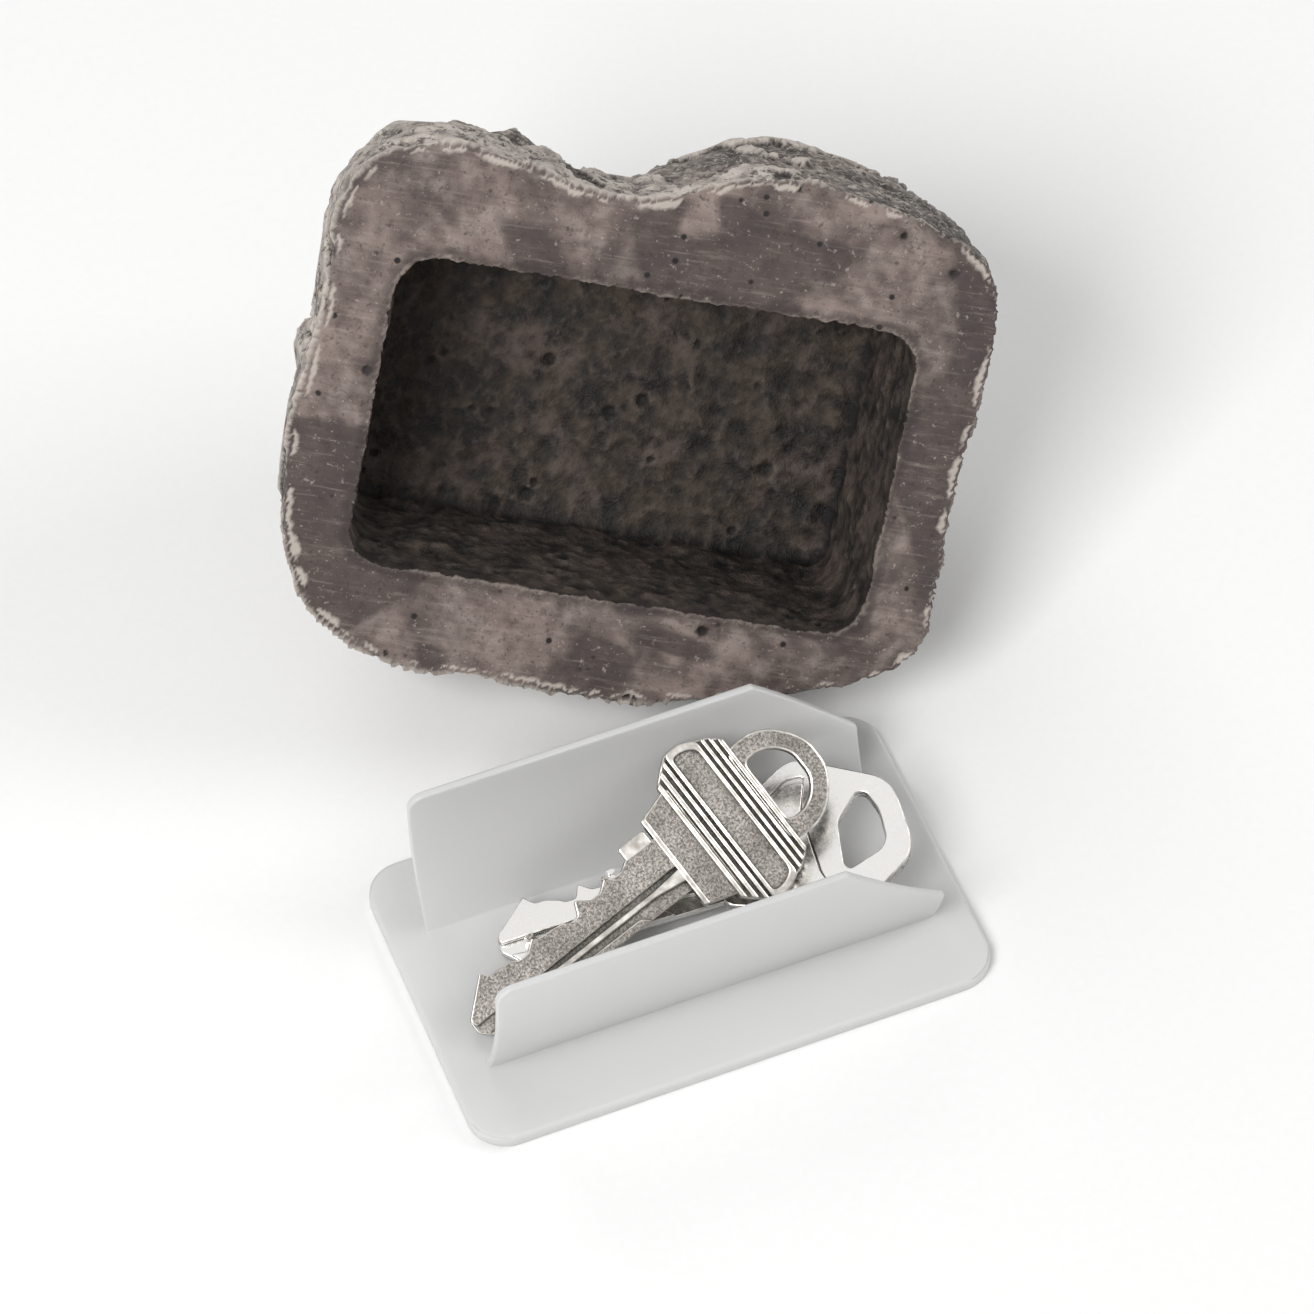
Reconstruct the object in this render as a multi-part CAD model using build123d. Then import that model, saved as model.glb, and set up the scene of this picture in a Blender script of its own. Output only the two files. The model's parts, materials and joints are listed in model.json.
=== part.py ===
from build123d import *
import os
from math import atan2, cos, pi, sin, sqrt, radians

# Fake rock with a key pocket in its flat base, a springy key tray that plugs
# the pocket, and two door keys lying in the tray. Millimetres, +Z up. The
# origin is the middle of the underside of the tray, which lies on the ground.

# Tray: one moulding, a plate with two bowed leaf springs along its long sides
plate_length = 70.0
plate_width = 44.0
plate_thick = 1.8
plate_corner = 5.0
leaf_length = 60.0
leaf_height = 23.0
leaf_thick = 1.0
leaf_foot_y = 10.6
leaf_bulge_y = 14.6
leaf_bulge_h = 12.5
leaf_lip_y = 15.2
leaf_clip = 14.0
leaf_corner = 2.2

# Rock: cast shell, drawn first upright over the tray, then tipped on its back
base_gap = 0.1
base_z = plate_thick + base_gap
rock_height = 48.0
crest_x, crest_y = 8.0, 2.0
pocket_length = 66.0
pocket_width = 40.0
pocket_depth = 26.0
pocket_corner = 4.5
pocket_draft = 3.3

# Tipping: the line about which the rock turns between closed and open
tip_yaw = -15.0
tip_angle = 125.0
back_facet = 40.7
axis_reach = 33.0
lean = radians(180 - tip_angle)
axis_height = (back_facet - sin(lean) * axis_reach) / (1 + cos(lean))
ax, ay = cos(radians(tip_yaw)), sin(radians(tip_yaw))
px, py = -ay, ax

# Ribbed key
a_length = 55.0
a_blade = 32.0
a_blade_w = 8.0
a_thick = 2.1
a_shoulder = 4.2
a_shoulder_w = 13.2
a_block = 10.3
a_block_w = 23.0
a_block_thick = 3.0
a_loop_w = 14.4

# Angular key
b_length = 53.5
b_blade = 28.5
b_blade_w = 8.2
b_thick = 2.1
b_bow_w = 23.0
b_panel = 0.25


def tray():
    """Plate and both leaves, fused."""
    plate = extrude(RectangleRounded(plate_length, plate_width, plate_corner),
                    plate_thick)
    plate = chamfer(plate.edges().group_by(Axis.Z)[-1], 0.35)
    body = plate
    for side in (-1, 1):
        body = body + leaf(side)
    return body


def leaf(side):
    """A bowed spring wall, clipped at its upper corners."""
    half = leaf_thick / 2
    foot, top = plate_thick - 0.4, plate_thick + leaf_height

    def bow(shift):
        return ThreePointArc(
            (side * (leaf_foot_y + shift), foot),
            (side * (leaf_bulge_y + shift), plate_thick + leaf_bulge_h),
            (side * (leaf_lip_y + shift), top))

    inner, outer = bow(-half), bow(half)
    cap = Line(inner @ 1, outer @ 1)
    root = Line(inner @ 0, outer @ 0)
    section = make_face(Curve() + [inner, outer, cap, root])
    wall = extrude(Plane.YZ * section, leaf_length / 2, both=True)
    end = leaf_length / 2
    clip = Polygon((end - leaf_clip, top), (end - leaf_clip, top + 2),
                   (end + 2, top + 2), (end + 2, top - leaf_clip),
                   (end, top - leaf_clip), align=None)
    wall = wall - extrude(Plane.XZ * clip, 30, both=True)
    c = leaf_corner
    corner = Rectangle(2 * c, 2 * c) - Pos(c, -c) * Circle(c)
    corner = Pos(-end, top) * corner
    return wall - extrude(Plane.XZ * corner, 30, both=True)


def base_outline():
    """Plan of the sawn base, a worn lump rather than an ellipse."""
    return [(-42, -22), (-40.5, -28.5), (-36, -33), (-29, -35), (-20, -34),
            (-12, -32), (-5, -31.6), (2, -34.4), (9, -36.8), (17, -37.4),
            (26, -36), (34, -33.8), (40, -30.4), (42.6, -23), (42.2, -10),
            (41.6, 2), (42.2, 13), (41.2, 21), (36, 25.4), (28, 28.4),
            (18, 30.8), (8, 32.8), (-2, 33.6), (-12, 32.6), (-22, 33),
            (-31, 31), (-38, 25.6), (-42, 16), (-43, 3), (-41.4, -10)]


def finer(points):
    """The same ring with a rounded point added between each pair."""
    count, ring = len(points), []
    for i in range(count):
        (ax0, ay0), (ax1, ay1) = points[i - 1], points[i]
        (ax2, ay2), (ax3, ay3) = points[(i + 1) % count], points[(i + 2) % count]
        ring.append((ax1, ay1))
        ring.append((0.5625 * (ax1 + ax2) - 0.0625 * (ax0 + ax3),
                     0.5625 * (ay1 + ay2) - 0.0625 * (ay0 + ay3)))
    return ring


def squareness(x, y):
    """Steep at the right end and the rear, softer towards the left."""
    turn = atan2(y, x)
    return 0.52 - 0.20 * cos(turn) - 0.02 * sin(turn) - 0.02 * cos(2 * turn)


def step(low, high, value):
    """Smooth rise from 0 to 1."""
    t = min(1.0, max(0.0, (value - low) / (high - low)))
    return t * t * (3 - 2 * t)


def lump(x, y, z):
    """Outward push of the flanks: knobs, ledges and furrows of the casting."""
    wave = sin(0.24 * x + 0.13 * z + 0.6) * cos(0.22 * y - 0.19 * z + 1.1)
    knob = sin(0.47 * x + 0.9) * sin(0.43 * y + 2.0 + 0.1 * x) * sin(0.45 * z + 0.4)
    ridge = 1 - 2 * abs(sin(0.21 * x - 0.17 * y + 0.26 * z + 0.5))
    push = 0.8 * wave + 1.0 * knob + 0.7 * ridge
    # crusted shelf high on the right of the front, and one low at the left
    shelf = step(24, 29, z + 0.10 * x + 2 * sin(0.3 * x)) * step(-2, 6, x)
    foot = step(17, 12, z + 0.12 * x) * step(4, -6, x)
    push += 1.1 * max(shelf, foot) * step(6, -4, y)
    # upright furrows down the right end
    push -= 1.2 * step(30, 38, x) * step(0.35, 0.9, abs(sin(0.24 * y + 0.5)))
    return push


def rock_skin():
    """Closed solid of flat triangles between rings that close on the crest."""
    outline = finer(base_outline())
    turns = (0, 5, 11, 18, 25, 33, 41, 50, 59, 68, 77, 84)
    rings = []
    for turn in turns:
        tau = radians(turn)
        ring = []
        for x, y in outline:
            inward = 1 - cos(tau)
            rise = sin(tau) ** squareness(x, y) if turn else 0.0
            qx = x + (crest_x - x) * inward
            qy = y + (crest_y - y) * inward
            z = base_z + (rock_height - base_z) * rise
            if turn:
                push = (lump(qx, qy, z) - 0.8) * min(1.0, turn / 11) * step(90, 72, turn)
                reach = max(sqrt(x * x + y * y), 1.0)
                flat = cos(tau) ** 0.6
                qx += push * flat * x / reach
                qy += push * flat * y / reach
                z += min(push * sin(tau) * 0.8, rock_height - z)
            ring.append((qx, qy, z))
        rings.append(ring)
    apex = (crest_x, crest_y, rock_height - 0.3)
    count = len(outline)
    faces = [Face(Wire.make_polygon(rings[0], close=True))]
    for low, high in zip(rings[:-1], rings[1:]):
        for i in range(count):
            j = (i + 1) % count
            if i % 2:
                trios = ((low[i], low[j], high[j]), (low[i], high[j], high[i]))
            else:
                trios = ((low[i], low[j], high[i]), (low[j], high[j], high[i]))
            faces += [Face(Wire.make_polygon(t, close=True)) for t in trios]
    for i in range(count):
        j = (i + 1) % count
        faces.append(Face(Wire.make_polygon((rings[-1][i], rings[-1][j], apex),
                                            close=True)))
    return Solid(Shell(faces))


def half_space_cutter(nx, ny, nz, distance):
    """Block filling everything beyond the plane n.r = distance."""
    size = 300.0
    normal = Vector(nx, ny, nz).normalized()
    place = Plane(origin=normal * distance, z_dir=normal)
    block = Box(size, size, size, align=(Align.CENTER, Align.CENTER, Align.MIN))
    return place * block


def rock_closed():
    """Rock upright over the tray, pocket square with the tray."""
    body = rock_skin()
    # The face it lies on when tipped
    body = body - half_space_cutter(px * sin(lean), py * sin(lean), cos(lean),
                                    back_facet)
    # Broken faces: high front left and front right shoulder
    body = body - half_space_cutter(-0.50, -0.50, 0.70, 50.5)
    body = body - half_space_cutter(0.55, -0.50, 0.67, 54.0)
    mouth = RectangleRounded(pocket_length, pocket_width, pocket_corner)
    pocket = extrude(Plane.XY.offset(base_z) * mouth, pocket_depth,
                     taper=pocket_draft)
    below = extrude(Plane.XY.offset(base_z - 1) * mouth, 1.0)
    body = body - pocket - below
    return body


def tipped(shape):
    """Turned back about the tipping line, from closed to open."""
    line = Axis((px * axis_reach, py * axis_reach, axis_height), (ax, ay, 0))
    return shape.rotate(line, -tip_angle)


def blade(length, width, thick, cuts):
    """Key blade along +X with its tip at the origin, cut along one edge."""
    half = width / 2
    point = Polygon((0, -half + 2.2), (2.2, -half), (length, -half),
                    (length, half), (4.5, half), (0, -half + 4.0), align=None)
    body = extrude(point, thick)
    for x, depth in cuts:
        notch = Polygon((x - 1.1 - depth, half + 0.01), (x - 0.7, half - depth),
                        (x + 0.7, half - depth), (x + 1.1 + depth, half + 0.01),
                        align=None)
        body = body - extrude(notch, thick)
    groove = Pos(length / 2 + 2, -half + 2.3, thick) * Box(length - 2, 1.1, 1.2)
    under = Pos(length / 2 + 2, half - 3.4, 0) * Box(length - 2, 1.1, 1.0)
    return body - groove - under


def key_ribbed():
    """Cut key whose bow is a ribbed block with a loop behind it."""
    half = a_thick / 2
    steel = blade(a_blade + 1, a_blade_w, a_thick,
                  ((6.2, 1.0), (10.1, 1.7), (14.0, 1.1), (17.9, 1.9), (21.8, 1.3),
                   (25.6, 0.8)))
    stop = Pos(a_blade - 2.4, a_blade_w / 2 + 0.6, half) * Box(4.0, 2.2, a_thick)
    x0 = a_blade
    w0 = a_shoulder_w / 2
    shoulder = Polygon((x0, -w0), (x0 + a_shoulder + 1, -w0 - 1.6),
                       (x0 + a_shoulder + 1, w0 + 1.6), (x0, w0), align=None)
    x1 = x0 + a_shoulder
    w1 = a_block_w / 2
    block = Polygon((x1, -w1 + 2.8), (x1 + 1.6, -w1 + 1.4), (x1 + 3.2, -w1),
                    (x1 + 5.6, -w1), (x1 + 7.0, -w1 + 0.9), (x1 + 8.4, -w1 + 1.3),
                    (x1 + a_block, -w1 + 2.8),
                    (x1 + a_block, w1 - 2.8), (x1 + 8.4, w1 - 1.3),
                    (x1 + 7.0, w1 - 0.9), (x1 + 5.6, w1), (x1 + 3.2, w1),
                    (x1 + 1.6, w1 - 1.4), (x1, w1 - 2.8), align=None)
    x2 = x1 + a_block
    w2 = a_loop_w / 2
    end = a_length
    loop = Polygon((x2 - 1, -w2), (x2 + 3.2, -w2), (x2 + 5.6, -w2 + 1.2),
                   (end - 0.9, -w2 + 3.6), (end, -w2 + 5.6), (end, w2 - 5.6),
                   (end - 0.9, w2 - 3.6), (x2 + 5.6, w2 - 1.2), (x2 + 3.2, w2),
                   (x2 - 1, w2), align=None)
    window = Polygon((x2 + 0.4, -w2 + 2.6), (x2 + 2.8, -w2 + 2.6),
                     (x2 + 4.6, -w2 + 3.6), (end - 2.6, -w2 + 5.4),
                     (end - 2.6, w2 - 5.4), (x2 + 4.6, w2 - 3.6),
                     (x2 + 2.8, w2 - 2.6), (x2 + 0.4, w2 - 2.6), align=None)
    body = steel + stop + extrude(shoulder, a_thick)
    slab = Pos(0, 0, half - a_block_thick / 2) * extrude(block, a_block_thick)
    body = body + slab + extrude(loop, a_thick) - extrude(window, a_thick)
    # Ribs: narrow grooves across the block on both faces and a sunk panel
    for face in (0, 1):
        z = half + (a_block_thick / 2) * (1 if face else -1)
        for x in (0.35, 1.15, 2.25, 3.05, 7.5, 8.3, 9.3):
            body = body - Pos(x1 + x, 0, z) * Box(0.4, a_block_w + 2, 0.7)
        body = body - Pos(x1 + 5.3, 0, z) * Box(3.0, a_block_w - 3.4, 0.6)
    return Pos(0, 0, -half) * body


def key_angular():
    """Cut key with a large six-sided bow, a sunk panel and a slanted window."""
    half = b_thick / 2
    steel = blade(b_blade + 1, b_blade_w, b_thick,
                  ((6.5, 1.2), (10.2, 2.2), (13.9, 1.6), (17.6, 0.9), (21.3, 1.9)))
    x0, w, end = b_blade, b_bow_w / 2, b_length
    bow = Polygon((x0, -4.9), (x0 + 3.0, -6.0), (x0 + 11.8, -w + 0.5),
                  (x0 + 13.6, -w), (x0 + 15.4, -w + 0.7), (end - 1.6, -w + 5.4),
                  (end - 0.4, -w + 7.0), (end, -w + 8.8), (end, w - 8.8),
                  (end - 0.4, w - 7.0), (end - 1.6, w - 5.4),
                  (x0 + 15.4, w - 0.7), (x0 + 13.6, w), (x0 + 11.8, w - 0.5),
                  (x0 + 3.0, 6.0), (x0, 4.9), align=None)
    window = Polygon((end - 9.2, -4.2), (end - 8.6, -5.0), (end - 4.0, -3.6),
                     (end - 3.0, -2.2), (end - 2.8, 1.6), (end - 3.6, 4.4),
                     (end - 4.8, 4.8), (end - 8.2, 1.8), align=None)
    panel = Polygon((x0 + 3.6, -4.2), (x0 + 12.2, -w + 2.4),
                    (x0 + 14.6, -w + 2.6), (x0 + 12.6, -4.6),
                    (x0 + 13.0, 4.6), (x0 + 14.6, w - 2.6),
                    (x0 + 12.2, w - 2.4), (x0 + 3.6, 4.2), align=None)
    head = extrude(bow, b_thick)
    head = chamfer(head.edges().filter_by(Plane.XY), 0.25)
    body = steel + head - extrude(window, b_thick)
    body = body - Pos(0, 0, b_thick - b_panel) * extrude(panel, b_panel)
    body = body - extrude(panel, b_panel)
    return Pos(0, 0, -half) * body


def place_key(shape, tip, yaw, pitch, roll):
    """Tip to a point; roll lifts the +Y edge, pitch lifts the bow."""
    turned = Rot(roll, 0, 0) * shape
    turned = Rot(0, -pitch, 0) * turned
    turned = Rot(0, 0, yaw) * turned
    return Pos(*tip) * turned


a_tip, a_yaw, a_pitch, a_roll = (-30.2, -5.6, 4.2), 13.5, 15.2, 27.0
b_tip, b_yaw, b_pitch, b_roll = (-22.5, 5.0, 3.4), -6.5, 7.0, 10.0


def write(shape, name):
    os.makedirs("parts", exist_ok=True)
    shape.label = name
    export_step(shape, "parts/" + name + ".step")


write(tray(), "key_tray")
write(tipped(rock_closed()), "rock")
write(place_key(key_ribbed(), a_tip, a_yaw, a_pitch, a_roll), "key_a")
write(place_key(key_angular(), b_tip, b_yaw, b_pitch, b_roll), "key_b")
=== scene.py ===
import bpy
import bmesh
import json
import numpy as np
from math import radians, sin, cos
from mathutils import Vector, Matrix, noise
from mathutils.kdtree import KDTree


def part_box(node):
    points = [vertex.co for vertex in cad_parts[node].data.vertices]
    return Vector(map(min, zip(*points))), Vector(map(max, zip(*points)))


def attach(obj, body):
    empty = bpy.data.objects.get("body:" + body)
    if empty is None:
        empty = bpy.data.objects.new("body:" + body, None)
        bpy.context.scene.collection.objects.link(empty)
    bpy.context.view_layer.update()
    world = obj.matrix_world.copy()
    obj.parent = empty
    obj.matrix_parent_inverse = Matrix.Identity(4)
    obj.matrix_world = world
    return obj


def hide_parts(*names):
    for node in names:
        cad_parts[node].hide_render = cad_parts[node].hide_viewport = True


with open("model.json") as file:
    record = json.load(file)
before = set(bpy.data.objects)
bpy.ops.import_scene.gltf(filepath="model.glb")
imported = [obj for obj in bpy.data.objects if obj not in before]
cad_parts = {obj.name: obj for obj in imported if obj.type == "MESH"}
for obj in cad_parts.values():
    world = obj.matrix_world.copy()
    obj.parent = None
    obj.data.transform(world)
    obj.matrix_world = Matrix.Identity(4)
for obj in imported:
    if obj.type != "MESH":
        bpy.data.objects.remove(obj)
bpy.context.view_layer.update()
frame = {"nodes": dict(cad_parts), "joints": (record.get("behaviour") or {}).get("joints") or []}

# helpers that every part uses

# the rock lies tipped back at rest; these turn it shut about its hinge and open again
tipJoint = next(j for j in frame["joints"] if j["name"] == "rock_tip")
tipPlace = Vector(tipJoint["pos_m"])
closeTurn = Matrix.Rotation(radians(tipJoint["range_deg"][1]), 3, Vector(tipJoint["axis"]))
openTurn = closeTurn.transposed()


def linearColour(hexText):
    parts = [int(hexText[i:i + 2], 16) / 255 for i in (1, 3, 5)]
    return [c / 12.92 if c <= 0.04045 else ((c + 0.055) / 1.055) ** 2.4 for c in parts] + [1.0]


def perMm(size):
    return 1000.0 / size  # texture scale that puts one feature every so many millimetres


def addNode(material, kind, links=None, **settings):
    node = material.node_tree.nodes.new(kind)
    for name, value in settings.items():
        setattr(node, name, value)
    for name, value in (links or {}).items():
        socket = node.inputs[name]
        if isinstance(value, bpy.types.NodeSocket):
            material.node_tree.links.new(value, socket)
        elif isinstance(value, str):
            socket.default_value = linearColour(value)
        else:
            socket.default_value = value
    return node


def newMaterial(name):
    material = bpy.data.materials.new(name)
    material.use_nodes = True
    material.node_tree.nodes.clear()
    return material


def paintOver(material, colour, layers):
    # lays colours over the first one; each layer is (driver, start, full, strength, colour)
    for driver, start, full, strength, paint in layers:
        amount = addNode(material, "ShaderNodeMapRange", {
            "Value": driver, "From Min": start, "From Max": full, "To Max": strength})
        colour = addNode(material, "ShaderNodeMix", {
            0: amount.outputs[0], 6: colour, 7: paint}, data_type="RGBA").outputs[2]
    return colour


def meshCopy(nodeName, newName):
    source = frame["nodes"][nodeName]
    mesh = source.data.copy()
    mesh.materials.clear()
    piece = bpy.data.objects.new(newName, mesh)
    bpy.context.scene.collection.objects.link(piece)
    work = bmesh.new()
    work.from_mesh(mesh)
    bmesh.ops.remove_doubles(work, verts=work.verts, dist=2e-6)  # metres
    work.to_mesh(mesh)
    work.free()
    return piece


# camera, floor and light

viewSettings = {"turn": -22.0, "height": 54.0, "distance": 0.72, "lens": 156.0,
                "aim": (0.008, 0.027, 0.020)}
turn, height = radians(viewSettings["turn"]), radians(viewSettings["height"])
back = Vector((sin(turn) * cos(height), -cos(turn) * cos(height), sin(height)))
camera = bpy.data.objects.new("photoCamera", bpy.data.cameras.new("photoCamera"))
bpy.context.scene.collection.objects.link(camera)
camera.data.lens = viewSettings["lens"]
camera.data.sensor_width = 36.0
camera.data.clip_start, camera.data.clip_end = 0.01, 20.0
camera.location = Vector(viewSettings["aim"]) + back * viewSettings["distance"]
camera.rotation_mode = "QUATERNION"
camera.rotation_quaternion = (-back).to_track_quat("-Z", "Y")
bpy.context.scene.camera = camera
bpy.context.scene.view_settings.view_transform = "Standard"

floorMaterial = newMaterial("matPaperSweep")  # matte white paper, slightly toothy
floorPlace = addNode(floorMaterial, "ShaderNodeTexCoord").outputs["Object"]
grain = addNode(floorMaterial, "ShaderNodeTexNoise", {
    "Vector": floorPlace, "Scale": perMm(1.2), "Detail": 3.0})
paper = addNode(floorMaterial, "ShaderNodeBsdfPrincipled", {
    "Base Color": paintOver(floorMaterial, "#f6f6f5", [(grain.outputs[0], 0.0, 1.0, 1.0, "#fafafa")]),
    "Roughness": 0.9, "Specular IOR Level": 0.1})
# far from the object the paper runs out into plain white, seen by the camera only
farPlace = addNode(floorMaterial, "ShaderNodeVectorMath", {0: floorPlace}, operation="LENGTH")
farAway = addNode(floorMaterial, "ShaderNodeMapRange", {
    "Value": farPlace.outputs["Value"], "From Min": 0.22, "From Max": 0.60})
eye = addNode(floorMaterial, "ShaderNodeLightPath")
fade = addNode(floorMaterial, "ShaderNodeMath", {
    0: farAway.outputs[0], 1: eye.outputs["Is Camera Ray"]}, operation="MULTIPLY")
plainWhite = addNode(floorMaterial, "ShaderNodeEmission", {"Color": "#ffffff", "Strength": 1.0})
sweep = addNode(floorMaterial, "ShaderNodeMixShader", {
    0: fade.outputs[0], 1: paper.outputs[0], 2: plainWhite.outputs[0]})
addNode(floorMaterial, "ShaderNodeOutputMaterial", {"Surface": sweep.outputs[0]})
floorMesh = bpy.data.meshes.new("paperFloor")
floorReach = 4.0
floorMesh.from_pydata([(x * floorReach, y * floorReach, 0) for x, y in ((-1, -1), (1, -1), (1, 1), (-1, 1))],
                      [], [(0, 1, 2, 3)])
floorMesh.materials.append(floorMaterial)
paperFloor = bpy.data.objects.new("paperFloor", floorMesh)
paperFloor.location.z = -0.0002
bpy.context.scene.collection.objects.link(paperFloor)

lampAim = (0.0, 0.03, 0.02)
lampSettings = {
    "keySoftbox": {"place": (-0.55, -0.35, 0.75), "size": 0.45, "power": 7.0},
    "rightSoftbox": {"place": (0.75, -0.1, 0.55), "size": 0.5, "power": 2.6},
    "rearSoftbox": {"place": (0.0, 0.85, 0.6), "size": 0.6, "power": 2.2}}
for lampName, lamp in lampSettings.items():
    data = bpy.data.lights.new(lampName, "AREA")
    data.energy, data.size = lamp["power"], lamp["size"]
    softbox = bpy.data.objects.new(lampName, data)
    softbox.location = lamp["place"]
    aim = Vector(lampAim) - softbox.location
    softbox.rotation_euler = aim.to_track_quat("-Z", "Y").to_euler()
    bpy.context.scene.collection.objects.link(softbox)

world = bpy.data.worlds.new("studio")
bpy.context.scene.world = world
world.use_nodes = True
world.node_tree.nodes.clear()
seen = addNode(world, "ShaderNodeLightPath")
mirrored = addNode(world, "ShaderNodeMath", {
    0: seen.outputs["Is Camera Ray"], 1: seen.outputs["Is Glossy Ray"]}, operation="MAXIMUM")
through = addNode(world, "ShaderNodeMath", {0: mirrored.outputs[0], 1: seen.outputs["Is Transmission Ray"]},
                  operation="MAXIMUM")
ambient = addNode(world, "ShaderNodeBackground", {"Color": "#f2f2f2", "Strength": 0.34})
white = addNode(world, "ShaderNodeBackground", {"Color": "#ffffff", "Strength": 1.0})
choose = addNode(world, "ShaderNodeMixShader", {
    0: through.outputs[0], 1: ambient.outputs[0], 2: white.outputs[0]})
addNode(world, "ShaderNodeOutputWorld", {"Surface": choose.outputs[0]})
print("camera and light ready")

# rock

rockLook = {
    "grainMm": 0.5, "pocketHalf": (34.2, 21.2), "pocketTop": 28.4,
    # the sawn face: its level, how far above it still counts as sawn, how squarely it faces down
    "baseLevel": 1.9, "sawnBand": 0.5, "sawnFacing": -0.75,
    # heights in mm of what the skin is made of; outward is the most it may stand out
    "lumpMm": 0.75, "foamMm": 0.42, "fineMm": 0.10, "pitMm": 0.9, "crustMm": 0.55,
    "furrowMm": 0.6, "chipMm": 0.45, "outwardMm": 0.7,
    # and of the sawn face
    "waveMm": 0.12, "holeMm": 0.8, "baseChipMm": 0.45,
    # where the darker right end begins, and where the pale crust lies: high on the right, low on the left
    "darkEnd": (27, 36), "crustHigh": (23, 31), "crustRight": (-6, 6),
    "crustLow": (19, 10), "crustLeft": (8, -8), "darkFoot": (6.5, 2.0),
    # bubble scars: spacing, radius, share of cells that have one, seed; the skin's also how strong
    "skinPits": ((2.3, 0.62, 0.40, 1.3, 0.55), (5.0, 1.15, 0.30, 4.9, 0.8), (11.0, 2.1, 0.34, 6.6, 1.0)),
    "basePits": ((5.0, 0.66, 0.45, 3.1), (12.0, 1.2, 0.4, 8.4)), "pocketPit": (4.0, 1.1, 0.5, 5.0),
    "wearSweeps": 8, "wearMm": (2.3, 0.6), "reliefSweeps": 7,
    # colour patterns: size in mm, detail, roughness, distortion
    "patterns": {"stain": (26, 2.5, 0.5, 0.6), "blotch": (9, 6.0, 0.62, 0.0), "patch": (3.2, 5.0, 0.62, 0.0),
                 "mottle": (1.7, 4.0, 0.7, 0.0), "speckle": (0.8, 3.0, 0.75, 0.0),
                 "sawMarks": (0.6, 3.0, 0.62, 0.0), "grit": (0.35, 2.0, 0.62, 0.0)},
    # dark dots with no depth, painted shade of pores and pinholes, on the skin also dark wash: spacing in mm,
    # edge and core of each, share of cells that have one, strength
    "skinPoreShade": (1.9, 0.21, 0.13, 0.34, 0.30, 0.85), "pinholeShade": (3.4, 0.15, 0.09, 0.40, 0.36, 1.0)}
farMm = 99.0  # stands for nowhere near


def smooth(low, high, value):
    t = min(1.0, max(0.0, (value - low) / (high - low)))
    return t * t * (3 - 2 * t)


def pit(place, spacing, radius, chance, seed):
    # how deep inside a round bubble scar this point is, 0 to 1
    scaled = place / spacing + Vector((seed, seed * 0.7, -seed))
    distances, centres = noise.voronoi(scaled)
    pick = noise.cell(centres[0] * 7.31 + Vector((0.37, 0.11, 0.53)))
    if pick > chance:
        return 0.0
    size = radius * (0.55 + 0.9 * noise.cell(centres[0] * 3.7 + Vector((seed, 0.2, 0.1))) ** 2)
    return smooth(size, size * 0.35, distances[0] * spacing)


def closedPlace(point):
    return (closeTurn @ (point - tipPlace) + tipPlace) * 1000


def evenGrid(piece, size):
    # rebuilds the piece as an even net of small quads, ready to be pushed about
    remesh = piece.modifiers.new("evenGrid", "REMESH")
    remesh.mode = "VOXEL"
    remesh.voxel_size = size / 1000
    graph = bpy.context.evaluated_depsgraph_get()
    even = bpy.data.meshes.new_from_object(piece.evaluated_get(graph))
    piece.modifiers.clear()
    even.name = piece.name
    piece.data = even
    return even


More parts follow.
